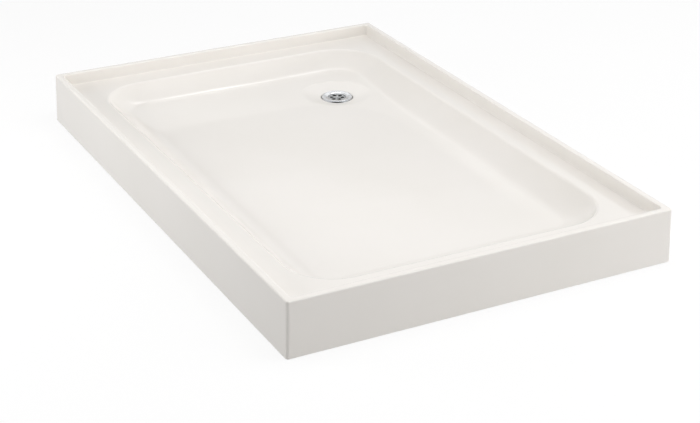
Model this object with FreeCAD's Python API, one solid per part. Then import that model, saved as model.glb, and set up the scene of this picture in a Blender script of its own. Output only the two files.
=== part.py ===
import FreeCAD, Part
import math
import os

# Rectangular capped shower tray with upstands on all four sides and a corner waste.
# Millimetres.  +X runs along the long side, +Y across, +Z up; z = 0 is the floor it beds on.

# ---- tray, outside ----
tray_length = 1200.0          # over the skirt at the base
tray_width = 800.0            # over the skirt at the base
tray_height = 108.0           # base to the top of the upstands
skirt_taper = 3.0             # each side leans in by this over the full height
corner_radius = 5.5           # upright outer corners
upstand_thickness = 14.0      # across the top
upstand_height = 25.0         # above the ledge
upstand_inner_taper = 2.0     # the inner face comes forward by this at its foot
inner_corner_radius = 6.0     # upright inner corners of the upstands
upstand_outer_round = 4.0
upstand_inner_bevel = 1.5

# ---- tray, bowl ----
ledge_width = 54.0            # flat ledge between the upstand's foot and the bowl's edge
bowl_corner_radius = 100.0    # in plan, at the bowl's edge
bowl_lip_round = 9.0          # rolled edge between ledge and bowl
bowl_wall_angle = 55.0        # slope of the wall at the edge, degrees
bowl_cove_radius = 90.0       # one hollow arc from the edge down to the floor
fall_along = 0.30             # tilt of the floor towards the waste end, degrees
fall_across = 0.45            # tilt of the floor towards the waste side, degrees
apron_from_end = 275.0        # start of the end strip that slopes back to the waste
apron_slope = 2.0             # degrees

# ---- shell and core ----
shell_thickness = 3.0         # formed acrylic sheet
bond_gap = 0.3                # adhesive film between sheet and cast core
skirt_lift = 1.0              # the sheet is trimmed this far above the base

# ---- underside of the core ----
rib_thickness = 28.0
field_length = 198.0          # one recess under the floor
field_width = 220.0
field_columns = 4
field_rows = 2
floor_skin = 13.0             # least stone left under the lowest point of the floor
rim_wall = 18.0               # stone left behind the skirt
rim_width = 64.0              # recesses under the ledge
rim_height = 38.0
rim_long_length = 455.0
rim_short_length = 560.0
rim_columns = 2               # recesses along each long side
rim_rows = 1                  # recesses along each short side
recess_corner = 10.0          # bevel across an upright corner of a recess
recess_taper = 2.0

# ---- waste opening in the tray ----
waste_from_end = 253.0        # waste centre to the left end of the base
waste_from_side = 218.0       # waste centre to the back side of the base
dish_depth = 2.4              # level part of the dish below the floor round it
dish_radius = 40.0            # level part of the dish
dish_run = 42.0               # width of the dish's sloping ring, less where it meets the floor
dish_slope = 8.0              # degrees
seat_depth = 4.0              # flange seat below the dish
seat_clearance = 2.0          # seat wall to flange
hole_clearance = 1.1          # tray hole to threaded tail
trap_radius = 78.0            # space for the nut and the trap under the tray
waste_skin = 6.7              # stone left above that space

# ---- waste fitting ----
flange_radius = 36.0
flange_rim = 0.9              # thickness of the flange's outer edge
flange_crown = 3.4            # height of the crown over the flange's underside
crown_radius = 30.5           # level part of the flange
flange_seal_thickness = 2.0
flange_seal_width = 9.5
tail_radius = 23.9            # one and a half inch pipe thread, outside
tail_clear_of_base = 1.0
strainer_bore = 20.5
seat_bore = 17.4              # clear way below the strainer
strainer_top_below_crown = 1.6
strainer_plate = 2.0
strainer_clearance = 0.3
strainer_holes = 6
strainer_hole_radius = 4.2
strainer_pitch_radius = 12.4
lower_seal_thickness = 3.0
lower_seal_radius = 36.0
washer_clearance = 0.3
nut_across_flats = 64.0
nut_height = 7.0
nut_chamfer = 1.5
thread_clearance = 0.1

# ---- worked out from the sizes above ----
ledge_level = tray_height - upstand_height
upstand_foot = skirt_taper + upstand_thickness + upstand_inner_taper
bowl_half_length = tray_length / 2 - upstand_foot - ledge_width
bowl_half_width = tray_width / 2 - upstand_foot - ledge_width
wall_slope = math.radians(bowl_wall_angle)
cove_run = bowl_cove_radius * math.sin(wall_slope)
cove_drop = bowl_cove_radius * (1 - math.cos(wall_slope))
floor_level = ledge_level - cove_drop
waste_x = waste_from_end - tray_length / 2
waste_y = tray_width / 2 - waste_from_side
core_inset = shell_thickness + bond_gap
waste_level = (floor_level + waste_x * math.tan(math.radians(fall_along))
               - waste_y * math.tan(math.radians(fall_across)) - dish_depth)
seat_level = waste_level - seat_depth
seat_radius = flange_radius + seat_clearance
hole_radius = tail_radius + hole_clearance
trap_level = seat_level - core_inset - waste_skin
apron_foot = apron_from_end - tray_length / 2
above = 20.0                  # how far cutting tools run past a face


def rounded_rectangle(half_x, half_y, radius, z):
    """Closed outline of four lines and four arcs, in the same order at every level."""
    edges = []
    centres = [(1, 1, 0), (-1, 1, 90), (-1, -1, 180), (1, -1, 270)]
    points = []
    for side_x, side_y, turn in centres:
        centre = FreeCAD.Vector(side_x * (half_x - radius), side_y * (half_y - radius), z)
        spokes = []
        for angle in (turn, turn + 45, turn + 90):
            reach = FreeCAD.Vector(math.cos(math.radians(angle)), math.sin(math.radians(angle)), 0)
            spokes.append(centre + reach * radius)
        points.append(spokes)
    for index, spokes in enumerate(points):
        edges.append(Part.Arc(*spokes).toShape())
        following = points[(index + 1) % len(points)]
        edges.append(Part.LineSegment(spokes[2], following[0]).toShape())
    return Part.Wire(edges)


def tapered_block(low_half, high_half, radius, low_z, high_z):
    """Solid between two rounded rectangles centred on the origin."""
    low = rounded_rectangle(low_half[0], low_half[1], radius, low_z)
    high = rounded_rectangle(high_half[0], high_half[1], radius, high_z)
    return Part.makeLoft([low, high], True, True)


def revolved(points):
    """Solid of revolution about the upright axis, from (radius, height) pairs."""
    corners = [FreeCAD.Vector(radius, 0, height) for radius, height in points]
    face = Part.Face(Part.makePolygon(corners + corners[:1]))
    return face.revolve(FreeCAD.Vector(), FreeCAD.Vector(0, 0, 1), 360)


def ring(inner, outer, low_z, high_z):
    """Plain washer about the upright axis."""
    body = Part.makeCylinder(outer, high_z - low_z, FreeCAD.Vector(0, 0, low_z))
    return body.cut(Part.makeCylinder(inner, high_z - low_z, FreeCAD.Vector(0, 0, low_z)))


def at_waste(shape):
    """Moves a shape built on the upright axis to the waste's place."""
    shape.translate(FreeCAD.Vector(waste_x, waste_y, 0))
    return shape


def skirt_half(size, z):
    """Half of the tray's length or width at a height, on the leaning skirt."""
    return size / 2 - skirt_taper * z / tray_height


def outer_block(inset, low_z):
    """The tray's outside with every face moved in by inset."""
    high_z = tray_height - inset
    low = [skirt_half(size, low_z) - inset for size in (tray_length, tray_width)]
    high = [skirt_half(size, high_z) - inset for size in (tray_length, tray_width)]
    return tapered_block(low, high, corner_radius - inset, low_z, high_z)


def upstand_void(inset):
    """Space inside the upstands, above the ledge, grown by inset."""
    low_z = ledge_level - inset
    lean = upstand_inner_taper / upstand_height
    high_z = tray_height + above
    low = []
    high = []
    for size in (tray_length, tray_width):
        foot = size / 2 - upstand_foot + inset
        low.append(foot - lean * inset)
        high.append(foot + lean * (high_z - ledge_level))
    return tapered_block(low, high, inner_corner_radius + inset, low_z, high_z)


def inner_bevel():
    """Funnel that bevels the upstands' top inner edge at 45 degrees."""
    low = []
    high = []
    for size in (tray_length, tray_width):
        edge = size / 2 - skirt_taper - upstand_thickness
        low.append(edge - upstand_inner_bevel)
        high.append(edge + 2 * upstand_inner_bevel)
    return tapered_block(low, high, inner_corner_radius,
                         tray_height - 2 * upstand_inner_bevel, tray_height + upstand_inner_bevel)


def bowl_profile(inset):
    """Half section of the bowl at its edge.

    Distance runs inwards from the bowl's edge: a straight wall above the edge, one hollow arc
    from the edge to the floor, and the level floor as far as the corner's centre.
    """
    arc_centre = FreeCAD.Vector(cove_run, 0, floor_level + bowl_cove_radius)
    reach = bowl_cove_radius + inset
    spokes = []
    for slope in (wall_slope, wall_slope / 2, 0.0):
        spokes.append(arc_centre + FreeCAD.Vector(-math.sin(slope), 0, -math.cos(slope)) * reach)
    top_z = tray_height
    rise = top_z - spokes[0].z
    top = FreeCAD.Vector(spokes[0].x - rise / math.tan(wall_slope), 0, top_z)
    floor_end = FreeCAD.Vector(bowl_corner_radius, 0, spokes[2].z)
    roof_end = FreeCAD.Vector(bowl_corner_radius, 0, top_z)
    wire = Part.Wire([
        Part.LineSegment(top, spokes[0]).toShape(),
        Part.Arc(*spokes).toShape(),
        Part.LineSegment(spokes[2], floor_end).toShape(),
        Part.LineSegment(floor_end, roof_end).toShape(),
        Part.LineSegment(roof_end, top).toShape(),
    ])
    return Part.Face(wire)


def end_apron(level):
    """Block under the end strip of the floor; its top rises from the apron's foot to the end."""
    block = Part.makeBox(bowl_half_length, 2 * bowl_half_width, bowl_cove_radius,
                         FreeCAD.Vector(apron_foot - bowl_half_length, -bowl_half_width,
                                        level - bowl_cove_radius))
    block.rotate(FreeCAD.Vector(apron_foot, 0, level), FreeCAD.Vector(0, 1, 0), apron_slope)
    return block


def bowl_void(inset):
    """The bowl's space: the section run along four sides and turned at four corners, then tilted."""
    half_x = bowl_half_length - bowl_corner_radius
    half_y = bowl_half_width - bowl_corner_radius
    low_z = floor_level - inset
    up = FreeCAD.Vector(0, 0, 1)
    corner_axis = FreeCAD.Vector(bowl_corner_radius, 0, 0)
    pieces = []
    for quarter in range(4):
        along = half_x if quarter % 2 else half_y
        out = half_y if quarter % 2 else half_x
        section = bowl_profile(inset)
        side = section.extrude(FreeCAD.Vector(0, 2 * along, 0))
        side.translate(FreeCAD.Vector(0, -along, 0))
        corner = section.revolve(corner_axis, up, -90)
        corner.translate(FreeCAD.Vector(0, along, 0))
        for piece in (side, corner):
            piece.translate(FreeCAD.Vector(-out - bowl_corner_radius, 0, 0))
            piece.rotate(FreeCAD.Vector(), up, -90 * quarter)
            pieces.append(piece)
    middle = Part.makeBox(2 * half_x, 2 * half_y, tray_height - low_z,
                          FreeCAD.Vector(-half_x, -half_y, low_z))
    void = middle.multiFuse(pieces).removeSplitter().cut(end_apron(low_z))
    pivot = FreeCAD.Vector(0, 0, floor_level)
    void.rotate(pivot, FreeCAD.Vector(0, 1, 0), -fall_along)
    void.rotate(pivot, FreeCAD.Vector(1, 0, 0), -fall_across)
    return void


def waste_dish(inset):
    """Shallow cone round the waste with the flange's seat sunk in it."""
    rise = dish_run * math.tan(math.radians(dish_slope))
    low_z = waste_level - inset
    cone = Part.makeCone(dish_radius, dish_radius + dish_run, rise, FreeCAD.Vector(0, 0, low_z))
    seat_z = seat_level - inset
    seat = Part.makeCylinder(seat_radius + inset, low_z + rise - seat_z, FreeCAD.Vector(0, 0, seat_z))
    return at_waste(cone.fuse(seat))


def edges_at(shape, level, wanted):
    """Edges that lie wholly at one height and pass a test on their middle point."""
    found = []
    for edge in shape.Edges:
        box = edge.BoundBox
        if abs(box.ZMin - level) < 0.01 and abs(box.ZMax - level) < 0.01:
            middle = edge.valueAt((edge.FirstParameter + edge.LastParameter) / 2)
            if wanted(middle):
                found.append(edge)
    return found


def outside_of(half_x, half_y):
    """Test: is a point beyond a centred rectangle."""
    return lambda point: abs(point.x) > half_x or abs(point.y) > half_y


def tray_form(inset, low_z):
    """The whole tray as one solid, with every face moved in by inset."""
    form = outer_block(inset, low_z).cut(upstand_void(inset))
    return form.cut(bowl_void(inset)).cut(waste_dish(inset))


def with_eased_edges(form):
    """The visible form with its bowl's lip rounded and the top edges of its upstands eased."""
    half_x = tray_length / 2
    half_y = tray_width / 2
    strip = skirt_taper + upstand_thickness / 2
    ledge_middle = upstand_foot + ledge_width / 2
    on_strip = outside_of(half_x - strip, half_y - strip)
    at_foot = outside_of(half_x - ledge_middle, half_y - ledge_middle)
    lip = edges_at(form, ledge_level, lambda point: not at_foot(point))
    form = form.makeFillet(bowl_lip_round, lip)
    outer = edges_at(form, tray_height, on_strip)
    form = form.makeFillet(upstand_outer_round, outer)
    return form.cut(inner_bevel())


def waste_hole():
    """Drill for the waste's tail, through sheet and stone."""
    return at_waste(Part.makeCylinder(hole_radius, ledge_level))


def tray_shell():
    """Formed sheet: outside form less the same form one sheet thickness further in."""
    outside = with_eased_edges(tray_form(0.0, skirt_lift))
    return outside.cut(tray_form(shell_thickness, -above)).cut(waste_hole())


def bevelled_rectangle(half_x, half_y, z):
    """Closed outline of a rectangle with its corners cut across."""
    points = []
    for side_x, side_y in ((1, 1), (-1, 1), (-1, -1), (1, -1)):
        ends = [(half_x, half_y - recess_corner), (half_x - recess_corner, half_y)]
        if side_x * side_y < 0:
            ends.reverse()
        points += [FreeCAD.Vector(side_x * x, side_y * y, z) for x, y in ends]
    return Part.makePolygon(points + points[:1])


def recess(centre_x, centre_y, size_x, size_y, height):
    """Tapered recess rising from the base, widest at its mouth."""
    low = bevelled_rectangle(size_x / 2, size_y / 2, 0.0)
    high = bevelled_rectangle(size_x / 2 - recess_taper, size_y / 2 - recess_taper, height)
    block = Part.makeLoft([low, high], True, True)
    block.translate(FreeCAD.Vector(centre_x, centre_y, 0))
    return block


def spread_out(count, pitch):
    """Evenly pitched places centred on zero."""
    return [(index - (count - 1) / 2) * pitch for index in range(count)]


def lowest_stone():
    """Height of the core's top at the lowest corner of the floor."""
    drop_x = (bowl_half_length - cove_run) * math.tan(math.radians(fall_along))
    drop_y = (bowl_half_width - cove_run) * math.tan(math.radians(fall_across))
    return floor_level - drop_x - drop_y - core_inset


def field_recesses():
    """Grid of recesses under the floor, leaving the waste's surround solid."""
    height = lowest_stone() - floor_skin
    clear_x = trap_radius + rib_thickness / 2 + field_length / 2
    clear_y = trap_radius + rib_thickness / 2 + field_width / 2
    tools = []
    for x in spread_out(field_columns, field_length + rib_thickness):
        for y in spread_out(field_rows, field_width + rib_thickness):
            if abs(x - waste_x) > clear_x or abs(y - waste_y) > clear_y:
                tools.append(recess(x, y, field_length, field_width, height))
    return tools


def rim_recesses():
    """Long recesses under the ledge on all four sides, leaving the corners solid."""
    sides = [
        (tray_width, rim_long_length, rim_columns, 0),
        (tray_length, rim_short_length, rim_rows, 90),
    ]
    tools = []
    for size_across, length, count, turn in sides:
        middle = size_across / 2 - skirt_taper - core_inset - rim_wall - rim_width / 2
        for along in spread_out(count, length + rib_thickness):
            for side in (1, -1):
                tool = recess(along, side * middle, length, rim_width, rim_height)
                tool.rotate(FreeCAD.Vector(), FreeCAD.Vector(0, 0, 1), turn)
                tools.append(tool)
    return tools


def stone_core():
    """Cast core: fills the sheet, hollowed from below, with room for the waste."""
    core = tray_form(core_inset, 0.0)
    trap_space = at_waste(Part.makeCylinder(trap_radius, trap_level))
    return core.cut(field_recesses() + rim_recesses() + [trap_space, waste_hole()])


def waste_body():
    """Plated flange and threaded tail in one casting, bored to take the strainer."""
    under = seat_level + flange_seal_thickness
    crown = under + flange_crown
    strainer_top = crown - strainer_top_below_crown
    strainer_floor = strainer_top - strainer_plate
    return at_waste(revolved([
        (flange_radius, under),
        (flange_radius, under + flange_rim),
        (crown_radius, crown),
        (strainer_bore, crown),
        (strainer_bore, strainer_floor),
        (seat_bore, strainer_floor),
        (seat_bore, tail_clear_of_base),
        (tail_radius, tail_clear_of_base),
        (tail_radius, under),
    ]))


def strainer_grid():
    """Lift-out strainer: a drilled plate that lies on the casting's shoulder."""
    top = seat_level + flange_seal_thickness + flange_crown - strainer_top_below_crown
    low_z = top - strainer_plate
    plate = Part.makeCylinder(strainer_bore - strainer_clearance, strainer_plate,
                              FreeCAD.Vector(0, 0, low_z))
    holes = []
    for index in range(strainer_holes):
        angle = 2 * math.pi * index / strainer_holes
        place = FreeCAD.Vector(math.cos(angle), math.sin(angle), 0) * strainer_pitch_radius
        place.z = low_z
        holes.append(Part.makeCylinder(strainer_hole_radius, strainer_plate, place))
    return at_waste(plate.cut(holes))


def flange_seal():
    """Foam ring between the tray's seat and the flange."""
    inner = flange_radius - 1.0 - flange_seal_width
    return at_waste(ring(inner, flange_radius - 1.0, seat_level, seat_level + flange_seal_thickness))


def lower_seal():
    """Rubber ring against the underside of the tray."""
    low = trap_level - lower_seal_thickness
    return at_waste(ring(tail_radius + washer_clearance, lower_seal_radius, low, trap_level))


def backnut():
    """Hexagon nut on the tail, with its corners turned off."""
    high = trap_level - lower_seal_thickness
    low = high - nut_height
    across_corners = nut_across_flats / math.cos(math.pi / 6)
    corners = []
    for index in range(7):
        angle = math.pi / 3 * index
        reach = across_corners / 2
        corners.append(FreeCAD.Vector(reach * math.cos(angle), reach * math.sin(angle), low))
    prism = Part.Face(Part.makePolygon(corners)).extrude(FreeCAD.Vector(0, 0, nut_height))
    turned = across_corners / 2
    envelope = revolved([
        (0, low),
        (turned - nut_chamfer, low),
        (turned, low + nut_chamfer),
        (turned, high),
        (0, high),
    ])
    bore = Part.makeCylinder(tail_radius + thread_clearance, nut_height, FreeCAD.Vector(0, 0, low))
    return at_waste(prism.common(envelope).cut(bore))


nodes = {
    "tray_shell": tray_shell,
    "stone_core": stone_core,
    "waste_body": waste_body,
    "strainer_grid": strainer_grid,
    "flange_seal": flange_seal,
    "lower_seal": lower_seal,
    "backnut": backnut,
}

os.makedirs("parts", exist_ok=True)
for name, build in nodes.items():
    shape = build()
    shape.exportStep("parts/" + name + ".step")
    print(name, len(shape.Solids), round(shape.Volume / 1000.0, 1), "cm3", shape.isValid())
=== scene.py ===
import bpy
import math
import numpy as np
from mathutils import Matrix


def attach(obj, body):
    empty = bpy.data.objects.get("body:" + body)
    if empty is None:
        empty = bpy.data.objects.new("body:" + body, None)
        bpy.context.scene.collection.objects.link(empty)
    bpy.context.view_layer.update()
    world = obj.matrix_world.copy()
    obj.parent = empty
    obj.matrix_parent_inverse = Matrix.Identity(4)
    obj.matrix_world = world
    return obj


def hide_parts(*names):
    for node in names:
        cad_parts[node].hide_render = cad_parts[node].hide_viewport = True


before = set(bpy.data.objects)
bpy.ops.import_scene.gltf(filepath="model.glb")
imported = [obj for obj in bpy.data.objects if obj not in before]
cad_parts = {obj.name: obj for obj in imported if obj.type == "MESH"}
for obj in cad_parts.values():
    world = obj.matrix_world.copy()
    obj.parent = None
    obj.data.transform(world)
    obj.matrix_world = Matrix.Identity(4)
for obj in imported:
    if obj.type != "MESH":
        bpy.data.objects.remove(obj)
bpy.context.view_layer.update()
print("frame loaded")

# Sizes are in millimetres here and become metres when a mesh is made.
mm = 0.001

# the camera that the photograph was taken with, solved from the tray's straight edges
viewPoint = {
    "place": (2.77462, -1.42477, 1.41614),
    "right": (0.46354624, 0.88606094, 0.00457088),
    "down": (0.38165481, -0.19500336, -0.90350058),
    "forward": (-0.79966524, 0.42055879, -0.4285625),
    "lens": 85.08,
    "sensor": 36.0,
    "farthest": 50.0,
}


def makeCamera(view):
    lensData = bpy.data.cameras.new("camera")
    lensData.lens = view["lens"]
    lensData.sensor_width = view["sensor"]
    lensData.sensor_fit = "HORIZONTAL"
    lensData.clip_end = view["farthest"]
    camera = bpy.data.objects.new("camera", lensData)
    bpy.context.scene.collection.objects.link(camera)
    up = [-value for value in view["down"]]
    back = [-value for value in view["forward"]]
    turn = Matrix([view["right"], up, back]).transposed().to_4x4()
    camera.matrix_world = Matrix.Translation(view["place"]) @ turn
    bpy.context.scene.camera = camera


makeCamera(viewPoint)


def linearColour(code):
    # sRGB hex to linear light, with an alpha of one
    parts = [int(code[place:place + 2], 16) / 255 for place in (1, 3, 5)]
    return tuple(part / 12.92 if part <= 0.04045 else ((part + 0.055) / 1.055) ** 2.4
                 for part in parts) + (1.0,)


def addNode(tree, kind, settings=None, inputs=None):
    # one node: settings are its properties, inputs are values or sockets to link from
    node = tree.nodes.new(kind)
    for name, value in (settings or {}).items():
        setattr(node, name, value)
    for name, value in (inputs or {}).items():
        socket = node.inputs[name]
        if isinstance(value, bpy.types.NodeSocket):
            tree.links.new(value, socket)
        else:
            socket.default_value = value
    return node


def newMaterial(name):
    material = bpy.data.materials.new(name)
    material.use_nodes = True
    material.node_tree.nodes.clear()
    return material, material.node_tree


def finishMaterial(tree, shader):
    addNode(tree, "ShaderNodeOutputMaterial", inputs={"Surface": shader.outputs[0]})


def colourRamp(tree, source, stops):
    # stops are (place, colour) pairs
    node = addNode(tree, "ShaderNodeValToRGB", inputs={"Fac": source})
    ramp = node.color_ramp
    while len(ramp.elements) < len(stops):
        ramp.elements.new(0.5)
    for element, (place, colour) in zip(ramp.elements, stops):
        element.position = place
        element.color = colour
    return node


acrylicLook = {
    "colour": "#EEEAE4",
    "paler": "#F1EDE8",
    "cloudSize": 260.0,       # mm, slow change of tone where the sheet was stretched
    "smearSize": 38.0,        # mm, wiped soap film
    "waveSize": 95.0,         # mm, the sheet's slight waviness over its backing
    "waveHeight": 0.05,       # mm
    "roughness": (0.08, 0.16),
    "ior": 1.49,
}


def formedAcrylic(look):
    # Sanitary acrylic, drawn hot over a mould: a deep white gloss whose reflections run a little
    # soft and wavy, with a thin wiped film that dulls it in patches.
    material, tree = newMaterial("formedAcrylic")
    place = addNode(tree, "ShaderNodeTexCoord").outputs["Object"]
    cloud = addNode(tree, "ShaderNodeTexNoise", inputs={
        "Vector": place, "Scale": 1 / (look["cloudSize"] * mm), "Detail": 3.0, "Roughness": 0.5})
    smear = addNode(tree, "ShaderNodeTexNoise", inputs={
        "Vector": place, "Scale": 1 / (look["smearSize"] * mm), "Detail": 6.0, "Roughness": 0.6,
        "Distortion": 1.2})
    wave = addNode(tree, "ShaderNodeTexNoise", inputs={
        "Vector": place, "Scale": 1 / (look["waveSize"] * mm), "Detail": 1.0})
    tone = colourRamp(tree, cloud.outputs["Fac"], [
        (0.30, linearColour(look["colour"])), (0.70, linearColour(look["paler"]))])
    low, high = look["roughness"]
    dulled = addNode(tree, "ShaderNodeMapRange", inputs={
        "Value": smear.outputs["Fac"], "From Min": 0.35, "From Max": 0.75,
        "To Min": low, "To Max": high})
    bump = addNode(tree, "ShaderNodeBump", inputs={
        "Height": wave.outputs["Fac"], "Strength": 1.0, "Distance": look["waveHeight"] * mm})
    shader = addNode(tree, "ShaderNodeBsdfPrincipled", inputs={
        "Base Color": tone.outputs["Color"], "Roughness": dulled.outputs["Result"],
        "IOR": look["ior"], "Normal": bump.outputs["Normal"]})
    finishMaterial(tree, shader)
    return material


chromeLook = {
    "colour": "#C9CACC",
    "darker": "#B9BBBD",
    "inside": "#6E6A63",      # painted shade: dark brown inside the tail, below the strainer, where shade falls
    "insideRoughness": 0.45,  # more than the plate's
    "axis": (-347.0, 182.0),
    "insideRadius": 18.5,
    "insideTop": 36.2,
    "filmSize": 9.0,          # mm, dried water
    "polishSize": 1.6,        # mm, fine marks of the polishing wheel, drawn coarser than life
    "polishHeight": 0.004,
    "roughness": (0.10, 0.22),
}


def platedBrass(look, name):
    # Chromium plate on polished brass: a clean bluish mirror with faint wheel marks and a
    # little water film that breaks up the reflections. Inside the tail, nearer to the axis than
    # the bore and below its top, the colour turns to painted shade, a dark brown, and it is
    # rougher.
    material, tree = newMaterial(name)
    place = addNode(tree, "ShaderNodeTexCoord").outputs["Object"]
    marks = addNode(tree, "ShaderNodeTexNoise", inputs={
        "Vector": place, "Scale": 1 / (look["polishSize"] * mm), "Detail": 5.0, "Roughness": 0.7})
    film = addNode(tree, "ShaderNodeTexNoise", inputs={
        "Vector": place, "Scale": 1 / (look["filmSize"] * mm), "Detail": 3.0})
    tone = colourRamp(tree, film.outputs["Fac"], [
        (0.35, linearColour(look["darker"])), (0.65, linearColour(look["colour"]))])
    low, high = look["roughness"]
    dulled = addNode(tree, "ShaderNodeMapRange", inputs={
        "Value": film.outputs["Fac"], "From Min": 0.3, "From Max": 0.7,
        "To Min": low, "To Max": high})
    centred = addNode(tree, "ShaderNodeVectorMath", {"operation": "SUBTRACT"}, inputs={
        0: place, 1: (look["axis"][0] * mm, look["axis"][1] * mm, 0)})
    across = addNode(tree, "ShaderNodeVectorMath", {"operation": "MULTIPLY"}, inputs={
        0: centred.outputs["Vector"], 1: (1, 1, 0)})
    radius = addNode(tree, "ShaderNodeVectorMath", {"operation": "LENGTH"}, inputs={
        0: across.outputs["Vector"]})
    height = addNode(tree, "ShaderNodeSeparateXYZ", inputs={0: place})
    # painted shade: a mask for the tail's inside, which swaps in the dark inside colour
    within = addNode(tree, "ShaderNodeMath", {"operation": "LESS_THAN"}, inputs={
        0: radius.outputs["Value"], 1: look["insideRadius"] * mm})
    below = addNode(tree, "ShaderNodeMath", {"operation": "LESS_THAN"}, inputs={
        0: height.outputs["Z"], 1: look["insideTop"] * mm})
    inside = addNode(tree, "ShaderNodeMath", {"operation": "MULTIPLY"}, inputs={
        0: within.outputs["Value"], 1: below.outputs["Value"]})
    surface = addNode(tree, "ShaderNodeMix", {"data_type": "RGBA"}, inputs={
        0: inside.outputs["Value"], 6: tone.outputs["Color"], 7: linearColour(look["inside"])})
    tailRoughness = addNode(tree, "ShaderNodeMath", {"operation": "MULTIPLY_ADD"}, inputs={
        0: inside.outputs["Value"], 1: look["insideRoughness"], 2: dulled.outputs["Result"]})
    bump = addNode(tree, "ShaderNodeBump", inputs={
        "Height": marks.outputs["Fac"], "Strength": 1.0, "Distance": look["polishHeight"] * mm})
    shader = addNode(tree, "ShaderNodeBsdfPrincipled", inputs={
        "Base Color": surface.outputs[2], "Metallic": 1.0, "Roughness": tailRoughness.outputs["Value"],
        "Normal": bump.outputs["Normal"]})
    finishMaterial(tree, shader)
    return material


castLook = {
    "colour": "#CFCBC2",
    "paler": "#DDDAD2",
    "grain": "#A9A49A",
    "cloudSize": 120.0,       # mm, where the mix settled
    "grainSize": 2.4,         # mm, marble grit in the resin
    "pitSize": 5.5,           # mm, air holes on the open side of the casting
    "pitDepth": 0.5,
    "roughness": 0.85,
    "ior": 1.5,
}


def castResin(look):
    # Marble grit bound in polyester and cast open side up: matt, pale and speckled, with
    # small air holes and slow cloudy patches where the mix settled.
    material, tree = newMaterial("castResin")
    place = addNode(tree, "ShaderNodeTexCoord").outputs["Object"]
    cloud = addNode(tree, "ShaderNodeTexNoise", inputs={
        "Vector": place, "Scale": 1 / (look["cloudSize"] * mm), "Detail": 4.0})
    grit = addNode(tree, "ShaderNodeTexVoronoi", inputs={
        "Vector": place, "Scale": 1 / (look["grainSize"] * mm)})
    pits = addNode(tree, "ShaderNodeTexVoronoi", inputs={
        "Vector": place, "Scale": 1 / (look["pitSize"] * mm)})
    tone = colourRamp(tree, cloud.outputs["Fac"], [
        (0.3, linearColour(look["colour"])), (0.7, linearColour(look["paler"]))])
    speck = addNode(tree, "ShaderNodeMapRange", inputs={
        "Value": grit.outputs["Distance"], "From Min": 0.12, "From Max": 0.32,
        "To Min": 0.55, "To Max": 0.0})
    mixed = addNode(tree, "ShaderNodeMix", {"data_type": "RGBA"}, inputs={
        0: speck.outputs["Result"], 6: tone.outputs["Color"], 7: linearColour(look["grain"])})
    hole = addNode(tree, "ShaderNodeMapRange", inputs={
        "Value": pits.outputs["Distance"], "From Min": 0.08, "From Max": 0.26})
    bump = addNode(tree, "ShaderNodeBump", inputs={
        "Height": hole.outputs["Result"], "Strength": 1.0, "Distance": look["pitDepth"] * mm})
    shader = addNode(tree, "ShaderNodeBsdfPrincipled", inputs={
        "Base Color": mixed.outputs[2], "Roughness": look["roughness"], "IOR": look["ior"],
        "Normal": bump.outputs["Normal"]})
    finishMaterial(tree, shader)
    return material


rubberLook = {
    "colour": "#1C1C1D",
    "bloom": "#2D2C2B",
    "bloomSize": 7.0,         # mm
    "grainSize": 0.6,
    "grainHeight": 0.03,
    "roughness": 0.7,
    "ior": 1.52,
}


def mouldedRubber(look):
    # Moulded rubber: near black and matt, with a grey bloom and a fine grain from the mould.
    material, tree = newMaterial("mouldedRubber")
    place = addNode(tree, "ShaderNodeTexCoord").outputs["Object"]
    bloom = addNode(tree, "ShaderNodeTexNoise", inputs={
        "Vector": place, "Scale": 1 / (look["bloomSize"] * mm), "Detail": 5.0})
    grain = addNode(tree, "ShaderNodeTexNoise", inputs={
        "Vector": place, "Scale": 1 / (look["grainSize"] * mm), "Detail": 2.0})
    tone = colourRamp(tree, bloom.outputs["Fac"], [
        (0.35, linearColour(look["colour"])), (0.7, linearColour(look["bloom"]))])
    bump = addNode(tree, "ShaderNodeBump", inputs={
        "Height": grain.outputs["Fac"], "Strength": 1.0,
        "Distance": look["grainHeight"] * mm})
    shader = addNode(tree, "ShaderNodeBsdfPrincipled", inputs={
        "Base Color": tone.outputs["Color"], "Roughness": look["roughness"], "IOR": look["ior"],
        "Normal": bump.outputs["Normal"]})
    finishMaterial(tree, shader)
    return material


brassLook = {
    "colour": "#C8A566",
    "darker": "#A98748",
    "tarnishSize": 12.0,      # mm
    "latheLine": 0.5,
    "lineHeight": 0.01,
    "roughness": 0.3,
}


def turnedBrass(look):
    # Brass bar, turned and left bare: warm yellow with a fine grain from the tool and a
    # brownish tarnish that starts in patches.
    material, tree = newMaterial("turnedBrass")
    place = addNode(tree, "ShaderNodeTexCoord").outputs["Object"]
    tarnish = addNode(tree, "ShaderNodeTexNoise", inputs={
        "Vector": place, "Scale": 1 / (look["tarnishSize"] * mm), "Detail": 5.0})
    tone = colourRamp(tree, tarnish.outputs["Fac"], [
        (0.35, linearColour(look["darker"])), (0.6, linearColour(look["colour"]))])
    lines = addNode(tree, "ShaderNodeTexNoise", inputs={
        "Vector": place, "Scale": 1 / (look["latheLine"] * mm), "Detail": 2.0})
    bump = addNode(tree, "ShaderNodeBump", inputs={
        "Height": lines.outputs["Fac"], "Strength": 1.0,
        "Distance": look["lineHeight"] * mm})
    shader = addNode(tree, "ShaderNodeBsdfPrincipled", inputs={
        "Base Color": tone.outputs["Color"], "Metallic": 1.0, "Roughness": look["roughness"],
        "Normal": bump.outputs["Normal"]})
    finishMaterial(tree, shader)
    return material


# the same plate, rougher and painted darker: painted shade and a painted dark reflection for where
# it sits sunk in the waste
shadedStrainerLook = dict(chromeLook, colour="#A6A8A9", darker="#8B8D8E", roughness=(0.2, 0.34))

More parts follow.
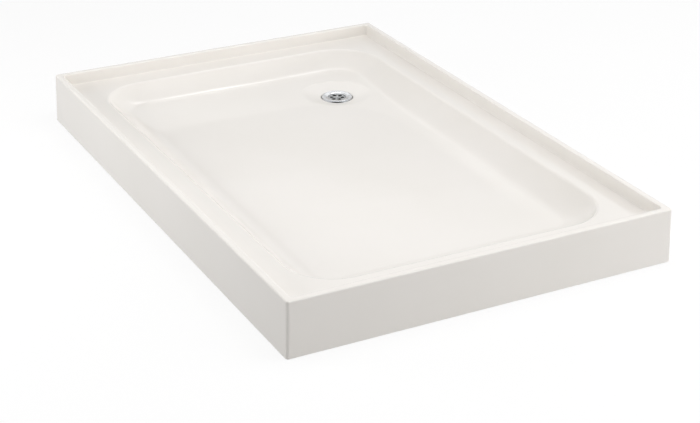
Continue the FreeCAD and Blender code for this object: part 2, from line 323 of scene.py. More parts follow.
finishes = {
    "acrylic_sheet": formedAcrylic(acrylicLook),
    "cast_stone_resin": castResin(castLook),
    "chromed_brass": platedBrass(chromeLook, "platedBrass"),
    "black_rubber": mouldedRubber(rubberLook),
    "brass_nut": turnedBrass(brassLook),
    "shaded_plate": platedBrass(shadedStrainerLook, "shadedPlatedBrass"),
}
print("materials made")


def gridFaces(rows, columns, first=0, closedRows=False):
    # quads between neighbouring rows of a grid whose columns run round and close;
    # closedRows also joins the last row to the first
    row, column = np.meshgrid(np.arange(rows if closedRows else rows - 1), np.arange(columns),
                              indexing="ij")
    following = (row + 1) % rows
    beside = (column + 1) % columns
    corners = [row * columns + column, row * columns + beside,
               following * columns + beside, following * columns + column]
    return np.stack(corners, axis=-1).reshape(-1, 4) + first


def addPiece(name, points, faces, body, slotName, replaced, finish=None):
    # Points in millimetres: one object at the origin that rides on a body and stands for a
    # node. finish names a material other than the slot's own.
    mesh = bpy.data.meshes.new(name)
    mesh.from_pydata((np.asarray(points).reshape(-1, 3) * mm).tolist(), [], faces.tolist())
    mesh.validate()
    mesh.polygons.foreach_set("use_smooth", np.ones(len(mesh.polygons), dtype=bool))
    mesh.update()
    piece = bpy.data.objects.new(name, mesh)
    bpy.context.scene.collection.objects.link(piece)
    mesh.materials.append(finishes[finish or slotName])
    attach(piece, body)
    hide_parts(replaced)
    return piece


# The formed sheet is one closed grid: loops round the tray from the skirt's foot inwards.
sheetShape = {
    "length": 1200.0,
    "width": 800.0,
    "height": 108.0,
    "lean": 3.0,              # of the skirt over the height
    "skirtFrom": 0.3,
    "thickness": 2.96,
    "cornerRadius": 5.5,
    "upstandThickness": 14.0,
    "upstandHeight": 25.0,
    "upstandLean": 2.0,
    "innerCornerRadius": 6.0,
    "outerRound": 3.0,
    "innerRound": 2.2,
    "footRound": 2.4,
    "ledge": 54.0,
    "bowlCornerRadius": 100.0,
    "lipRound": 9.0,
    "wallSlope": math.radians(55.0),
    "coveRadius": 90.0,
    "fallAlong": math.tan(math.radians(0.30)),
    "fallAcross": math.tan(math.radians(0.45)),
    "apronSlope": math.tan(math.radians(2.0)),
    "apronEnd": -325.0,       # the standing area's edge towards the waste end
    "apronSide": 237.0,       # and towards the waste side
    "apronCorner": 190.0,
    "apronBlend": 5.0,
    "joinPower": 8,           # of the mean that joins cove and apron
    "creaseEase": 0.9,        # height over which the dish's crease is softened
    "wasteX": -347.0,
    "wasteY": 182.0,
    "dishDepth": 2.4,
    "dishRadius": 40.0,
    "dishSlope": math.tan(math.radians(8.0)),
    "dishReach": 82.0,        # past which the dish's cone turns steep
    "dishEnd": 4.0,
    "seatDepth": 4.0,
    "seatRadius": 36.6,
    "seatEdgeRound": 0.8,
    "holeRadius": 25.0,
    "smallestRadius": 0.6,
}

# how closely the sheet's grid is laid; the back, which lies on the core, keeps fewer rows
sheetGrid = {
    "alongLong": 68,
    "alongShort": 44,
    "inCorner": 24,
    "ledgeRows": 4,
    "lipRows": 21,
    "coveRows": 36,
    "floorRows": 96,
    "crowding": 1.2,          # of the floor's rows towards the waste
    "ringRadius": 62.0,       # round the waste, where the floor's spokes end
    "nearRadii": (59, 56, 53, 50, 47, 44, 42, 40.8, 40, 39.4),
    "seatRadii": (34.0, 30.0),
    "backFloorStep": 8,
    "backCoveStep": 3,
}
ledgeLevel = sheetShape["height"] - sheetShape["upstandHeight"]
coveRun = sheetShape["coveRadius"] * math.sin(sheetShape["wallSlope"])
coveDrop = sheetShape["coveRadius"] * (1 - math.cos(sheetShape["wallSlope"]))
floorLevel = ledgeLevel - coveDrop
wasteLevel = (floorLevel + sheetShape["wasteX"] * sheetShape["fallAlong"]
              - sheetShape["wasteY"] * sheetShape["fallAcross"] - sheetShape["dishDepth"])
seatLevel = wasteLevel - sheetShape["seatDepth"]


def loopPattern(alongLong, alongShort, inCorner):
    # For every place round a rounded rectangle: the share of its straight half sizes, and the
    # outward direction. A place is share * (half - radius) + radius * direction.
    shares = []
    directions = []
    signs = np.array([(1, 1), (-1, 1), (-1, -1), (1, -1)], dtype=float)
    for corner in range(4):
        turn = np.radians(90 * corner + np.linspace(0, 90, inCorner + 1))
        directions.append(np.stack([np.cos(turn), np.sin(turn)], axis=1))
        shares.append(np.tile(signs[corner], (inCorner + 1, 1)))
        count = alongLong if corner % 2 == 0 else alongShort
        part = (np.arange(1, count) / count)[:, None]
        shares.append(signs[corner] * (1 - part) + signs[(corner + 1) % 4] * part)
        directions.append(np.tile(directions[-1][-1], (count - 1, 1)))
    return np.concatenate(shares), np.concatenate(directions)


shares, directions = loopPattern(sheetGrid["alongLong"], sheetGrid["alongShort"],
                                 sheetGrid["inCorner"])


def rectangleLoops(halfLong, halfShort, radius, level):
    # loops from four equal lists: share * (half - radius) + radius * direction, at a height
    half = np.stack([halfLong, halfShort], axis=1)[:, None, :]
    radius = np.asarray(radius, dtype=float)[:, None, None]
    plan = shares[None] * (half - radius) + radius * directions[None]
    height = np.broadcast_to(np.asarray(level, dtype=float)[:, None, None], plan.shape[:2] + (1,))
    return np.concatenate([plan, height], axis=2)


def outerLoops(shape):
    # The section from the skirt's foot over the upstand to the ledge, as (inset, height) pairs:
    # a leaning line, a quarter round, the top strip, a smaller round, a leaning line and a
    # hollow round. The inset is taken off the half sizes of the base. Rows lie close together
    # at the foot, so that its edge doesn't bend the shading of the face above.
    lean = shape["lean"] / shape["height"]
    innerLean = shape["upstandLean"] / shape["upstandHeight"]
    top = shape["height"]
    tilt = math.atan(lean)
    innerTilt = math.atan(innerLean)
    outerCentre = (lean * (top - shape["outerRound"]) + shape["outerRound"] / math.cos(tilt),
                   top - shape["outerRound"])
    face = shape["lean"] + shape["upstandThickness"]

    def innerFace(level):
        return face + innerLean * (top - level)

    innerLevel = top - shape["innerRound"]
    innerCentre = (innerFace(innerLevel) - shape["innerRound"] / math.cos(innerTilt), innerLevel)
    footLevel = ledgeLevel + shape["footRound"]
    footCentre = (innerFace(footLevel) + shape["footRound"] / math.cos(innerTilt), footLevel)
    foot = shape["skirtFrom"]
    levels = np.concatenate([foot + np.array([0, 0.25, 0.6, 1.2, 2.5]),
                             np.linspace(foot + 8, outerCentre[1] - 1.0, 5)])
    parts = [np.stack([lean * levels, levels], axis=1)]
    for centre, radius, start, end, count in (
            (outerCentre, shape["outerRound"], math.pi - tilt, math.pi / 2, 8),
            (innerCentre, shape["innerRound"], math.pi / 2, innerTilt, 7)):
        turn = np.linspace(start, end, count)
        parts.append(np.stack([centre[0] + radius * np.cos(turn),
                               centre[1] + radius * np.sin(turn)], axis=1))
    turn = np.linspace(math.pi + innerTilt, 1.5 * math.pi, 8)
    hollow = np.stack([footCentre[0] + shape["footRound"] * np.cos(turn),
                       footCentre[1] + shape["footRound"] * np.sin(turn)], axis=1)
    parts.append((parts[-1][-1:] + hollow[:1]) / 2)
    parts.append(hollow)
    inset, level = np.concatenate(parts).T
    outside = len(np.concatenate(parts[:2]))
    radius = np.empty(len(inset))
    radius[:outside] = shape["cornerRadius"] - np.maximum(inset[:outside] - shape["lean"], 0)
    middle = face + shape["upstandLean"]
    radius[outside:] = shape["innerCornerRadius"] + middle - inset[outside:]
    radius = np.maximum(radius, shape["smallestRadius"])
    return rectangleLoops(shape["length"] / 2 - inset, shape["width"] / 2 - inset, radius, level)


def bowlEdge(shape):
    # the bowl's edge in plan, and the height that the falls add there
    border = shape["lean"] + shape["upstandThickness"] + shape["upstandLean"] + shape["ledge"]
    half = np.array([shape["length"] / 2 - border, shape["width"] / 2 - border])
    radius = shape["bowlCornerRadius"]
    plan = shares * (half - radius) + radius * directions
    return plan, tiltAt(shape, plan)


def tiltAt(shape, plan):
    # both falls of the floor towards the waste corner, as one sloping plane through zero
    return plan[..., 0] * shape["fallAlong"] - plan[..., 1] * shape["fallAcross"]


def lipLoops(shape, edge, fall, count):
    # A round that touches the level ledge and the sloping wall: its centre is one radius below
    # the ledge and one radius behind the wall, which is an arc, or a line above the arc's start.
    radius = shape["lipRound"]
    slope = shape["wallSlope"]
    centreLevel = ledgeLevel - radius
    rise = floorLevel + shape["coveRadius"] + fall - centreLevel
    reach = np.sqrt((shape["coveRadius"] + radius) ** 2 - rise ** 2)
    turn = np.arcsin(reach / (shape["coveRadius"] + radius))
    onLine = (ledgeLevel + fall - centreLevel - radius * math.cos(slope)) / math.tan(slope)
    onLine = onLine - radius * math.sin(slope)
    centre = np.where(turn > slope, onLine, coveRun - reach)
    turn = np.minimum(turn, slope)
    step = np.linspace(0, 1, count)[:, None]
    inward = centre + radius * np.sin(step * turn)
    level = centreLevel + radius * np.cos(step * turn)
    plan = edge[None] - inward[..., None] * directions[None]
    return np.concatenate([plan, level[..., None]], axis=2), turn


def standingDistance(shape, plan):
    # signed distance outside the standing area: beyond its end line, its side line or the
    # large round that joins them in front of the waste
    radius = shape["apronCorner"]
    along = shape["apronEnd"] + radius - plan[..., 0]
    across = plan[..., 1] - shape["apronSide"] + radius
    corner = np.hypot(np.maximum(along, 0), np.maximum(across, 0)) - radius
    inside = np.minimum(np.maximum(along, across), 0)
    return corner + inside


def apronRise(shape, plan):
    # a slow rise outside the standing area, eased in over the blend width
    away = standingDistance(shape, plan)
    return shape["apronSlope"] * (away + np.sqrt(away ** 2 + shape["apronBlend"] ** 2)) / 2


def softFloor(shape, plan, coveRise):
    # The cove's and the apron's rise joined by a high power mean, so neither is lowered, then
    # cut by the shallow cone round the waste, with a parabola over the crease between them.
    # Past the dish's reach the cone turns steep, so that it leaves the bowl's walls alone.
    power = shape["joinPower"]
    rise = (coveRise ** power + apronRise(shape, plan) ** power) ** (1 / power)
    level = floorLevel + tiltAt(shape, plan) + rise
    away = np.hypot(plan[..., 0] - shape["wasteX"], plan[..., 1] - shape["wasteY"])
    dish = wasteLevel + np.maximum(away - shape["dishRadius"], 0) * shape["dishSlope"]
    dish = dish + np.maximum(away - shape["dishReach"], 0) * shape["dishEnd"]
    ease = shape["creaseEase"]
    return np.minimum(level, dish) - np.maximum(ease - np.abs(level - dish), 0) ** 2 / (4 * ease)


def coveLoops(shape, edge, turn, count):
    # the hollow arc from the lip's end to the floor: every loop is a smaller slope angle
    step = np.linspace(1, 0, count + 1)[1:, None]
    slope = step * turn
    inward = coveRun - shape["coveRadius"] * np.sin(slope)
    rise = shape["coveRadius"] * (1 - np.cos(slope))
    plan = edge[None] - inward[..., None] * directions[None]
    level = softFloor(shape, plan, rise)
    return np.concatenate([plan, level[..., None]], axis=2)


def wasteAngles(shape, foot):
    # Where each spoke of the floor meets the dish: halfway between the true bearing of its outer
    # end and an even spread, so that spokes neither bunch nor cross.
    bearing = np.unwrap(np.arctan2(foot[:, 1] - shape["wasteY"], foot[:, 0] - shape["wasteX"]))
    count = len(bearing)
    even = np.arange(count) * 2 * np.pi / count
    even = even + np.mean(bearing - even)
    return (bearing + even) / 2


def floorLoops(shape, grid, foot):
    # straight spokes from the cove's foot to a ring round the waste, with rows closer together
    # near it, then rings down to the edge of the flange's seat
    turn = wasteAngles(shape, foot)
    centre = np.array([shape["wasteX"], shape["wasteY"]])
    spoke = np.stack([np.cos(turn), np.sin(turn)], axis=1)
    ring = centre + spoke * grid["ringRadius"]
    share = (np.linspace(1, 0, grid["floorRows"] + 1)[1:] ** grid["crowding"])[:, None, None]
    plan = ring[None] + (foot[None] - ring[None]) * share
    near = centre + spoke[None] * np.array(grid["nearRadii"])[:, None, None]
    plan = np.concatenate([plan, near])
    level = softFloor(shape, plan, 0 * plan[..., 0])
    return np.concatenate([plan, level[..., None]], axis=2), spoke, centre


def seatLoops(shape, grid, spoke, centre):
    # the flange's seat: a small round, an upright wall, a hollow round and the level ring
    edgeRound = shape["seatEdgeRound"]
    turn = np.linspace(math.pi / 2, math.pi, 5)
    over = np.stack([shape["seatRadius"] + edgeRound + edgeRound * np.cos(turn),
                     wasteLevel - edgeRound + edgeRound * np.sin(turn)], axis=1)
    turn = np.linspace(0, -math.pi / 2, 5)
    under = np.stack([shape["seatRadius"] - edgeRound + edgeRound * np.cos(turn),
                      seatLevel + edgeRound + edgeRound * np.sin(turn)], axis=1)
    flat = np.array([(radius, seatLevel) for radius in grid["seatRadii"] + (shape["holeRadius"],)])
    section = np.concatenate([over, under, flat])
    plan = centre + spoke[None] * section[:, 0, None, None]
    level = np.broadcast_to(section[:, 1, None, None], plan.shape[:2] + (1,))
    return np.concatenate([plan, level], axis=2)


def gridNormals(points):
    # unit cross product of the two ways along the grid, each the difference of its neighbours
    down = np.gradient(points, axis=0)
    around = np.roll(points, -1, axis=1) - np.roll(points, 1, axis=1)
    normal = np.cross(around, down)
    return normal / np.maximum(np.linalg.norm(normal, axis=2, keepdims=True), 1e-9)


def formedSheet(shape, grid):
    # All loops from the skirt's foot to the waste hole, then loops one thickness behind them,
    # in the other order, joined at the foot and at the hole. Behind the bowl only every few of
    # them are kept.
    outer = outerLoops(shape)
    edge, fall = bowlEdge(shape)
    lip, turn = lipLoops(shape, edge, fall, grid["lipRows"])
    between = np.linspace(0, 1, grid["ledgeRows"] + 2)[1:-1, None, None]
    ledge = outer[-1] * (1 - between) + lip[0] * between
    cove = coveLoops(shape, edge, turn, grid["coveRows"])
    floor, spoke, centre = floorLoops(shape, grid, cove[-1, :, :2])
    seat = seatLoops(shape, grid, spoke, centre)
    front = np.concatenate([outer, ledge, lip, cove, floor, seat])
    normal = gridNormals(front)
    coveRows = np.arange(len(lip) + len(cove))
    floorRows = np.arange(grid["floorRows"])
    firstCove = len(outer) + len(ledge)
    left = np.concatenate([
        firstCove + coveRows[coveRows % grid["backCoveStep"] != 0],
        firstCove + len(coveRows) + floorRows[floorRows % grid["backFloorStep"] != 0]])
    kept = np.setdiff1d(np.arange(len(front)), left)
    back = (front - normal * shape["thickness"])[kept][::-1]
    points = np.concatenate([front, back])
    return points, gridFaces(len(points), points.shape[1], closedRows=True)


sheetPoints, sheetFaces = formedSheet(sheetShape, sheetGrid)
addPiece("tray_sheet", sheetPoints, sheetFaces, "tray", "acrylic_sheet", "tray_shell")
print("formed sheet made", len(sheetFaces))


# The waste fitting is made of outlines turned about one upright axis.
wasteShape = {
    "under": seatLevel + 2.0,      # underside of the flange, on its seal
    "flangeRadius": 36.0,
    "edgeRound": 0.5,
    "rim": 0.9,
    "crown": 4.9,
    "crownAt": 32.0,
    "innerFall": 2.0,         # of the flange from its crown to the bore's edge
    "bore": 20.5,
    "boreRound": 0.6,
    "seatBore": 17.4,
    "strainerDrop": 3.1,
    "strainerDepth": 2.0,
    "tailRadius": 23.9,
    "tailFoot": 1.0,
    "threadPitch": 2.309,
    "threadDepth": 1.25,
    "threadFlat": 0.12,       # share of the wave that its crests and roots take off
    "threadTop": 30.5,
    "threadRunOut": 2.0,
    "threadRows": 118,
}
roundSteps = 120              # of everything that is turned about the waste's axis
crownLevel = wasteShape["under"] + wasteShape["crown"]
strainerTop = crownLevel - wasteShape["strainerDrop"]
strainerFoot = strainerTop - wasteShape["strainerDepth"]


def roundedSection(corners, rounds, steps=5):
    # A closed outline of (radius, height) corners with every corner turned by its own round: a
    # parabola that starts and ends one tangent length from the corner.
    corners = np.asarray(corners, dtype=float)
    before = np.roll(corners, 1, axis=0) - corners
    after = np.roll(corners, -1, axis=0) - corners
    before /= np.linalg.norm(before, axis=1, keepdims=True)
    after /= np.linalg.norm(after, axis=1, keepdims=True)
    opening = np.arccos(np.clip((before * after).sum(axis=1), -1, 1))
    rounds = np.broadcast_to(np.asarray(rounds, dtype=float), opening.shape)
    tangent = rounds / np.tan(opening / 2)
    part = np.linspace(0, 1, steps)[None, :, None]
    start = (corners + before * tangent[:, None])[:, None, :]
    end = (corners + after * tangent[:, None])[:, None, :]
    corner = corners[:, None, :]
    curve = start * (1 - part) ** 2 + 2 * corner * part * (1 - part) + end * part ** 2
    return curve.reshape(-1, 2)


def turnedSurface(section, around):
    # a closed outline of (radius, height) carried round the waste's axis
    turn = np.linspace(0, 2 * np.pi, around, endpoint=False)
    radius = section[:, 0, None]
    points = np.stack([sheetShape["wasteX"] + radius * np.cos(turn),
                       sheetShape["wasteY"] + radius * np.sin(turn),
                       np.broadcast_to(section[:, 1, None], (len(section), around))], axis=2)
    return points, gridFaces(len(section), around, closedRows=True)


def threadedTail(points, shape, outward):
    # The thread: a triangle wave of height and turn with flat crests and roots, so that one
    # turn climbs one pitch, eased out at both ends. outward is the rows that carry it.
    place = points[outward]
    turn = np.arctan2(place[..., 1] - sheetShape["wasteY"], place[..., 0] - sheetShape["wasteX"])
    phase = place[..., 2] / shape["threadPitch"] - turn / (2 * np.pi)
    groove = np.abs(2 * (phase % 1.0) - 1)
    flat = shape["threadFlat"]
    groove = np.clip((groove - flat) / (1 - 2 * flat), 0, 1) * shape["threadDepth"]
    run = np.minimum(place[..., 2] - shape["tailFoot"], shape["threadTop"] - place[..., 2])
    groove = groove * np.clip(run / shape["threadRunOut"], 0, 1)
    radius = np.hypot(place[..., 0] - sheetShape["wasteX"], place[..., 1] - sheetShape["wasteY"])
    factor = (radius - groove) / radius
    place[..., 0] = sheetShape["wasteX"] + (place[..., 0] - sheetShape["wasteX"]) * factor
    place[..., 1] = sheetShape["wasteY"] + (place[..., 1] - sheetShape["wasteY"]) * factor
    points[outward] = place


def wasteCasting(shape):
    # The casting's outline turned about its axis: a flange that falls with the third power of
    # the way out from its crown and more gently on the way in, the bore for the strainer with
    # its shoulder, and the tail with its thread.
    out = np.linspace(1, 0, 14)
    outerRun = shape["flangeRadius"] - shape["edgeRound"] - shape["crownAt"]
    crownOut = np.stack([shape["crownAt"] + outerRun * out,
                         crownLevel - (shape["crown"] - shape["rim"]) * out ** 3], axis=1)
    innerRun = shape["crownAt"] - shape["bore"] - shape["boreRound"]
    dip = np.linspace(0, 1, 14)[1:]
    crownIn = np.stack([shape["crownAt"] - innerRun * dip,
                        crownLevel - shape["innerFall"] * dip ** 1.8], axis=1)
    edge = crownLevel - shape["innerFall"]
    boreRadius, seatBore, tailRadius = shape["bore"], shape["seatBore"], shape["tailRadius"]
    foot = shape["tailFoot"]
    # the first corner only gives the bore's edge its direction, and its steps are dropped
    bore = roundedSection([(boreRadius + 2, edge), (boreRadius, edge), (boreRadius, strainerFoot),
                           (seatBore, strainerFoot), (seatBore, foot), (tailRadius, foot)],
                          [0.02, 0.5, 0.3, 0.5, 0.5, 0.5])[5:]
    rise = np.linspace(foot + 0.8, shape["threadTop"], shape["threadRows"])
    tail = np.stack([np.full(len(rise), tailRadius), rise], axis=1)
    under, rimRadius = shape["under"], shape["flangeRadius"]
    rim = np.array([(tailRadius, under - 0.6), (tailRadius + 0.5, under), (30.0, under),
                    (rimRadius - 0.25, under), (rimRadius, under + 0.2),
                    (rimRadius, under + shape["rim"] - 0.25)])
    top = np.concatenate([crownOut, crownIn])
    section = np.concatenate([top, bore, tail, rim])
    points, faces = turnedSurface(section, roundSteps)
    first = len(top) + len(bore)
    threadedTail(points, shape, np.arange(first, first + len(tail)))
    return points, faces[:, ::-1]


castingPoints, castingFaces = wasteCasting(wasteShape)
addPiece("waste_casting", castingPoints, castingFaces, "tray", "chromed_brass", "waste_body")


strainerShape = {
    "outer": 20.2,
    "rimWidth": 1.3,          # the plate's edge is rolled
    "rimProud": 0.25,
    "plate": 2.0,
    "plateDish": 0.35,        # the plate is pressed slightly hollow
    "holes": 6,
    "holeRadius": 4.5,
    "holesAt": 12.4,
    "holeRound": 0.5,
    "bossRadius": 3.6,        # button in the middle, to lift the strainer by
    "bossHeight": 0.9,
    "bossRoot": 0.6,
}


def sectorOutline(shape, turn):
    # Reach of a ray from a hole's centre to the edge of its own slice of the plate: the nearer
    # of the plate's edge circle and the two straight cuts through the plate's centre.
    away = shape["holesAt"]
    half = math.pi / shape["holes"]
    outer = shape["outer"] - shape["rimWidth"] / 2
    across = away * np.sin(turn)
    circle = -away * np.cos(turn) + np.sqrt(outer ** 2 - across ** 2)
    with np.errstate(divide="ignore", invalid="ignore"):
        cut = away * math.sin(half) / np.abs(np.sin(np.abs(turn) - half))
        cut = np.where(np.sin(np.abs(turn) - half) > 1e-9, cut, np.inf)
    return np.minimum(circle, cut)


def strainerPlate(shape):
    # One slice of the plate round each hole: rows run from the slice's edge to the hole over the
    # top, down through the hole with rounded rims, back below and up the slice's edge.
    outer = shape["outer"] - shape["rimWidth"] / 2
    half = math.pi / shape["holes"]
    corner = math.atan2(outer * math.sin(half), outer * math.cos(half) - shape["holesAt"])
    pieces = [np.linspace(0, corner, 13)[:-1], np.linspace(corner, math.pi, 25)]
    positive = np.concatenate(pieces)
    turn = np.concatenate([positive, -positive[1:-1][::-1]])
    reach = sectorOutline(shape, turn)
    share = np.array([1.0, 0.8, 0.6, 0.4, 0.2, 0.08, 0.0])[:, None]
    hole = shape["holeRadius"] + shape["holeRound"]
    flat = hole + (reach - hole) * share
    bend = np.linspace(math.pi / 2, math.pi, 5)[1:, None]
    rimOut = np.broadcast_to(hole + shape["holeRound"] * np.cos(bend), (4, len(turn)))
    rimDown = shape["holeRound"] * (np.sin(bend) - 1)
    radius = np.concatenate([flat, rimOut, rimOut[::-1], flat[::-1]])
    drop = np.concatenate([np.zeros((7, 1)), rimDown, -shape["plate"] - rimDown[::-1],
                           np.full((7, 1), -shape["plate"])])
    slices = []
    faces = []
    for index in range(shape["holes"]):
        swing = 2 * math.pi * index / shape["holes"]
        x = shape["holesAt"] + radius * np.cos(turn)
        y = radius * np.sin(turn)
        across = x * math.cos(swing) - y * math.sin(swing)
        along = x * math.sin(swing) + y * math.cos(swing)
        dish = -shape["plateDish"] * (1 - (np.hypot(x, y) / outer) ** 2)
        level = strainerTop + drop + dish
        slices.append(np.stack([sheetShape["wasteX"] + across, sheetShape["wasteY"] + along, level],
                               axis=2).reshape(-1, 3))
        sliceFaces = gridFaces(len(radius), len(turn), first=index * radius.size, closedRows=True)
        faces.append(sliceFaces[:, ::-1])
    return np.concatenate(slices), np.concatenate(faces)


def strainerRim(shape):
    # the rolled edge of the plate, a rounded outline turned about the axis
    inner = shape["outer"] - shape["rimWidth"]
    high = strainerTop + shape["rimProud"]
    section = roundedSection([(inner, high), (inner, strainerFoot), (shape["outer"], strainerFoot),
                              (shape["outer"], high)], [0.5, 0.2, 0.2, 0.55], steps=7)
    return turnedSurface(section, roundSteps)


def strainerBoss(shape):
    # a low dome on the plate: its height falls with the fourth power of the radius, and its
    # root ends inside the plate
    reach = np.linspace(0.02, 1, 14)
    base = strainerTop - shape["plateDish"]
    dome = np.stack([shape["bossRadius"] * reach,
                     base + shape["bossHeight"] * (1 - reach ** 4)], axis=1)
    root = base - shape["bossRoot"]
    foot = np.array([(shape["bossRadius"], root), (shape["bossRadius"] * reach[0], root)])
    points, faces = turnedSurface(np.concatenate([dome, foot]), roundSteps // 2)
    return points, faces[:, ::-1]


def joinedParts(parts):
    # several grids of points and faces as one mesh
    points = []
    faces = []
    count = 0
    for partPoints, partFaces in parts:
        partPoints = partPoints.reshape(-1, 3)
        points.append(partPoints)
        faces.append(partFaces + count)
        count += len(partPoints)
    return np.concatenate(points), np.concatenate(faces)


strainerPoints, strainerFaces = joinedParts([
    strainerPlate(strainerShape), strainerRim(strainerShape), strainerBoss(strainerShape)])
# the strainer takes the darker plate, whose colour is painted shade and painted dark reflection
addPiece("strainer", strainerPoints, strainerFaces, "strainer", "chromed_brass", "strainer_grid",
         finish="shaded_plate")
print("waste casting and strainer made")


sealShape = {
    "recess": seatLevel - 10.0,        # the tray's underside round the waste
    "flangeSeal": (25.5, 35.0, 2.0),   # inner and outer radius, thickness
    "flangeSealRound": 0.5,
    "lowerSeal": (24.2, 36.0, 3.0),
    "lowerSealRound": 0.6,
}


def washer(inner, outer, low, high, edge):
    # a plain ring whose four edges are turned by a round
    section = roundedSection([(inner, high), (inner, low), (outer, low), (outer, high)], edge)
    return turnedSurface(section, roundSteps)


inner, outer, thick = sealShape["flangeSeal"]
sealPoints, sealFaces = washer(inner, outer, seatLevel, seatLevel + thick,
                               sealShape["flangeSealRound"])
addPiece("foam_seal", sealPoints, sealFaces, "tray", "black_rubber", "flange_seal")
inner, outer, thick = sealShape["lowerSeal"]
washerFoot = sealShape["recess"] - thick
sealPoints, sealFaces = washer(inner, outer, washerFoot, sealShape["recess"],
                               sealShape["lowerSealRound"])
addPiece("rubber_washer", sealPoints, sealFaces, "tray", "black_rubber", "lower_seal")


nutShape = {
    "top": washerFoot,
    "acrossFlats": 64.0,
    "height": 7.0,
    "chamfer": 1.5,
    "edge": 0.3,
    "bore": 24.0,
    "countersink": 0.9,
}


def hexagonNut(shape):
    # The outer wall is the nearer of the hexagon and a cone that turns the lower corners off;
    # the bore is round with a small countersink at both ends.
    around = 2 * roundSteps
    nutTop = shape["top"]
    turn = np.linspace(0, 2 * np.pi, around, endpoint=False)
    folded = np.abs((turn + np.pi / 6) % (np.pi / 3) - np.pi / 6)
    flat = shape["acrossFlats"] / 2 / np.cos(np.pi / 6 - folded)
    corner = shape["acrossFlats"] / 2 / math.cos(math.pi / 6)
    low = nutTop - shape["height"]
    sink = shape["countersink"]
    bore = shape["bore"]
    rows = np.array([(bore + sink, nutTop), (bore, nutTop - sink), (bore, low + sink),
                     (bore + sink, low)])
    radius = [np.full(around, value) for value in rows[:, 0]]
    level = [np.full(around, value) for value in rows[:, 1]]
    start = corner - shape["chamfer"] * 2.2
    radius.append(np.full(around, start))
    level.append(np.full(around, low))
    for part in np.linspace(0.1, 1, 12):
        cone = start + (corner - start) * part
        radius.append(np.minimum(flat, cone))
        level.append(np.full(around, low + shape["chamfer"] * part))
    for height in np.linspace(low + shape["chamfer"] * 1.4, nutTop - shape["edge"], 5):
        radius.append(flat)
        level.append(np.full(around, height))
    radius.append(flat - shape["edge"])
    level.append(np.full(around, nutTop))
    radius = np.array(radius)
    points = np.stack([sheetShape["wasteX"] + radius * np.cos(turn),
                       sheetShape["wasteY"] + radius * np.sin(turn), np.array(level)], axis=2)
    return points, gridFaces(len(radius), around, closedRows=True)


nutPoints, nutFaces = hexagonNut(nutShape)
addPiece("hexagon_nut", nutPoints, nutFaces, "tray", "brass_nut", "backnut")
print("seals and nut made")


# the cast core keeps its own solid and only takes its material
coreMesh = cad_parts["stone_core"].data
coreMesh.materials.clear()
coreMesh.materials.append(finishes["cast_stone_resin"])


# floor, light and background, in metres
studio = {
    "floorColour": "#707070",
    "floorReach": 9.0,
    "floorDrop": 0.0003,      # so that the tray's foot doesn't share its plane
    "floorLift": 0.84,        # for the rays that show the background, so that it reads as white
    "worldColour": "#FFFFFF",
    "worldStrength": 0.35,
    "openSide": (0.886, -0.455, 0.087),    # towards the open end of the studio
    "openReach": (58, 30),    # degrees from that side where the dark starts and is full
    "openLevel": 0.1,
    "lamps": {
        "leftNear": {
            "place": (-0.5, -1.6, 0.5), "aim": (-0.3, -0.4, 0.05),
            "gloss": False, "size": (0.8, 0.4), "power": 8.22},
        "rightLow": {
            "place": (1.5, 2.91, 0.4), "aim": (0.0, 0.0, 0.05),
            "gloss": False, "size": (3.81, 0.69), "power": 42.4},
        "overhead": {
            "place": (0.0, 0.0, 2.6), "aim": (0.0, 0.0, 0.0),
            "gloss": False, "size": (2.4, 2.0), "power": 24.4},
        "frontLow": {
            "place": (2.91, -1.5, 0.4), "aim": (0.0, 0.0, 0.05),
            "gloss": False, "size": (3.81, 0.69), "power": 19.68},
        "endStrip": {
            "place": (1.5, 0.45, 0.09), "aim": (0.6, 0.25, 0.05),
            "gloss": False, "size": (0.5, 0.16), "power": 1.89},
        "rightHigh": {
            "place": (0.64, 1.25, 2.42), "aim": (0.0, 0.0, 0.05),
            "gloss": False, "size": (1.61, 1.61), "power": 13.6},
        "rightMiddle": {
            "place": (1.24, 2.41, 1.7), "aim": (0.0, 0.0, 0.05),
            "gloss": False, "size": (2.98, 1.01), "power": 12.2},
        "frontMiddle": {
            "place": (2.41, -1.24, 1.7), "aim": (0.0, 0.0, 0.05),
            "gloss": False, "size": (2.98, 1.01), "power": 7.9},
        "leftStrip": {
            "place": (0.2, -1.6, 0.09), "aim": (0.1, -0.4, 0.05),
            "gloss": False, "size": (1.2, 0.16), "power": 1.11},
        "leftLow": {
            "place": (-1.5, -2.91, 0.4), "aim": (0.0, 0.0, 0.05),
            "gloss": False, "size": (3.81, 0.69), "power": 7.75},
        "backLow": {
            "place": (-2.91, 1.5, 0.4), "aim": (0.0, 0.0, 0.05),
            "gloss": False, "size": (3.81, 0.69), "power": 13.01},
        "backCard": {
            "place": (-6.55, 4.59, 5.15), "aim": (0.0, 0.0, 5.15),
            "gloss": True, "size": (6.1, 3.1), "power": 32.0},
        "backStrip": {
            "place": (-1.2, 0.5, 1.3), "aim": (-0.488, -0.07, 0.05),
            "gloss": True, "size": (0.38, 0.35), "power": 0.1, "spread": 40.0},
        "backSpot": {
            "place": (-1.06, 0.87, 1.28), "aim": (-0.48, 0.22, 0.05),
            "gloss": True, "size": (0.3, 0.3), "power": 0.06, "spread": 40.0},
    },
}


def backgroundRays(tree):
    # one for the rays that show the background: seen directly, in a gloss or through glass
    rays = addNode(tree, "ShaderNodeLightPath")
    bounced = addNode(tree, "ShaderNodeMath", {"operation": "MAXIMUM"}, inputs={
        0: rays.outputs["Is Glossy Ray"], 1: rays.outputs["Is Transmission Ray"]})
    seen = addNode(tree, "ShaderNodeMath", {"operation": "MAXIMUM"}, inputs={
        0: rays.outputs["Is Camera Ray"], 1: bounced.outputs["Value"]})
    return seen.outputs["Value"]


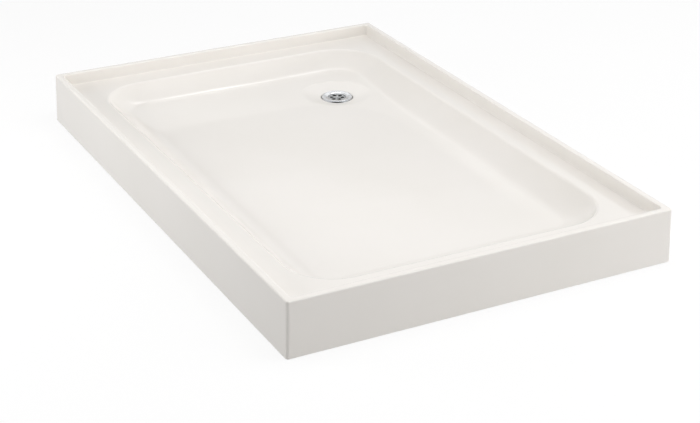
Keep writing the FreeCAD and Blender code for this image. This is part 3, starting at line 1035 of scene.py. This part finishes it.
def floorPlane(look):
    # a sheet of paper under the tray: a flat grid of one face
    reach = look["floorReach"]
    level = -look["floorDrop"]
    mesh = bpy.data.meshes.new("floor")
    mesh.from_pydata([(-reach, -reach, level), (reach, -reach, level), (reach, reach, level),
                      (-reach, reach, level)], [], [(0, 1, 2, 3)])
    plane = bpy.data.objects.new("floor", mesh)
    bpy.context.scene.collection.objects.link(plane)
    material, tree = newMaterial("backgroundPaper")
    paper = addNode(tree, "ShaderNodeBsdfDiffuse", inputs={
        "Color": linearColour(look["floorColour"])})
    lift = addNode(tree, "ShaderNodeMath", {"operation": "MULTIPLY"}, inputs={
        0: backgroundRays(tree), 1: look["floorLift"]})
    glow = addNode(tree, "ShaderNodeEmission", inputs={
        "Color": (1, 1, 1, 1), "Strength": lift.outputs["Value"]})
    both = addNode(tree, "ShaderNodeAddShader")
    tree.links.new(paper.outputs[0], both.inputs[0])
    tree.links.new(glow.outputs[0], both.inputs[1])
    finishMaterial(tree, both)
    mesh.materials.append(material)


def studioWorld(look):
    # White wherever the background is seen or mirrored. One side is dark for everything but the
    # camera: the open end of the studio, whose cosine from a direction is mapped to a level.
    world = bpy.data.worlds.new("studio")
    world.use_nodes = True
    tree = world.node_tree
    tree.nodes.clear()
    toSide = addNode(tree, "ShaderNodeVectorMath", {"operation": "DOT_PRODUCT"}, inputs={
        0: addNode(tree, "ShaderNodeTexCoord").outputs["Generated"], 1: look["openSide"]})
    wide, narrow = look["openReach"]
    opened = addNode(tree, "ShaderNodeMapRange", {"interpolation_type": "SMOOTHSTEP"}, inputs={
        "Value": toSide.outputs["Value"], "From Min": math.cos(math.radians(wide)),
        "From Max": math.cos(math.radians(narrow)), "To Min": 1.0, "To Max": look["openLevel"]})
    level = addNode(tree, "ShaderNodeMapRange", inputs={
        "Value": backgroundRays(tree), "To Min": look["worldStrength"], "To Max": 1.0})
    shaded = addNode(tree, "ShaderNodeMath", {"operation": "MULTIPLY"}, inputs={
        0: opened.outputs["Result"], 1: level.outputs["Result"]})
    rays = addNode(tree, "ShaderNodeLightPath")
    strength = addNode(tree, "ShaderNodeMath", {"operation": "MAXIMUM"}, inputs={
        0: shaded.outputs["Value"], 1: rays.outputs["Is Camera Ray"]})
    sky = addNode(tree, "ShaderNodeBackground", inputs={
        "Color": linearColour(look["worldColour"]), "Strength": strength.outputs["Value"]})
    addNode(tree, "ShaderNodeOutputWorld", inputs={"Surface": sky.outputs[0]})
    bpy.context.scene.world = world


def studioLamps(look):
    # Soft lamps that the camera doesn't see, each turned to its aim. Those with gloss are only
    # mirrored, the others only light. spread narrows the beam, in degrees.
    for name, lamp in look["lamps"].items():
        data = bpy.data.lights.new(name, "AREA")
        data.shape = "RECTANGLE"
        data.size, data.size_y = lamp["size"]
        data.energy = lamp["power"]
        data.spread = math.radians(lamp.get("spread", 180.0))
        light = bpy.data.objects.new(name, data)
        light.visible_camera = False
        light.visible_glossy = lamp["gloss"]
        light.visible_diffuse = not lamp["gloss"]
        bpy.context.scene.collection.objects.link(light)
        place = np.array(lamp["place"])
        back = place - np.array(lamp["aim"])
        back /= np.linalg.norm(back)
        upright = abs(back[2]) > 0.98
        right = np.cross((0.0, 1.0, 0.0) if upright else (0.0, 0.0, 1.0), back)
        right /= np.linalg.norm(right)
        turn = Matrix([right, np.cross(back, right), back]).transposed().to_4x4()
        light.matrix_world = Matrix.Translation(place) @ turn


floorPlane(studio)
studioWorld(studio)
studioLamps(studio)
bpy.context.scene.view_settings.view_transform = "Standard"
print("studio made")
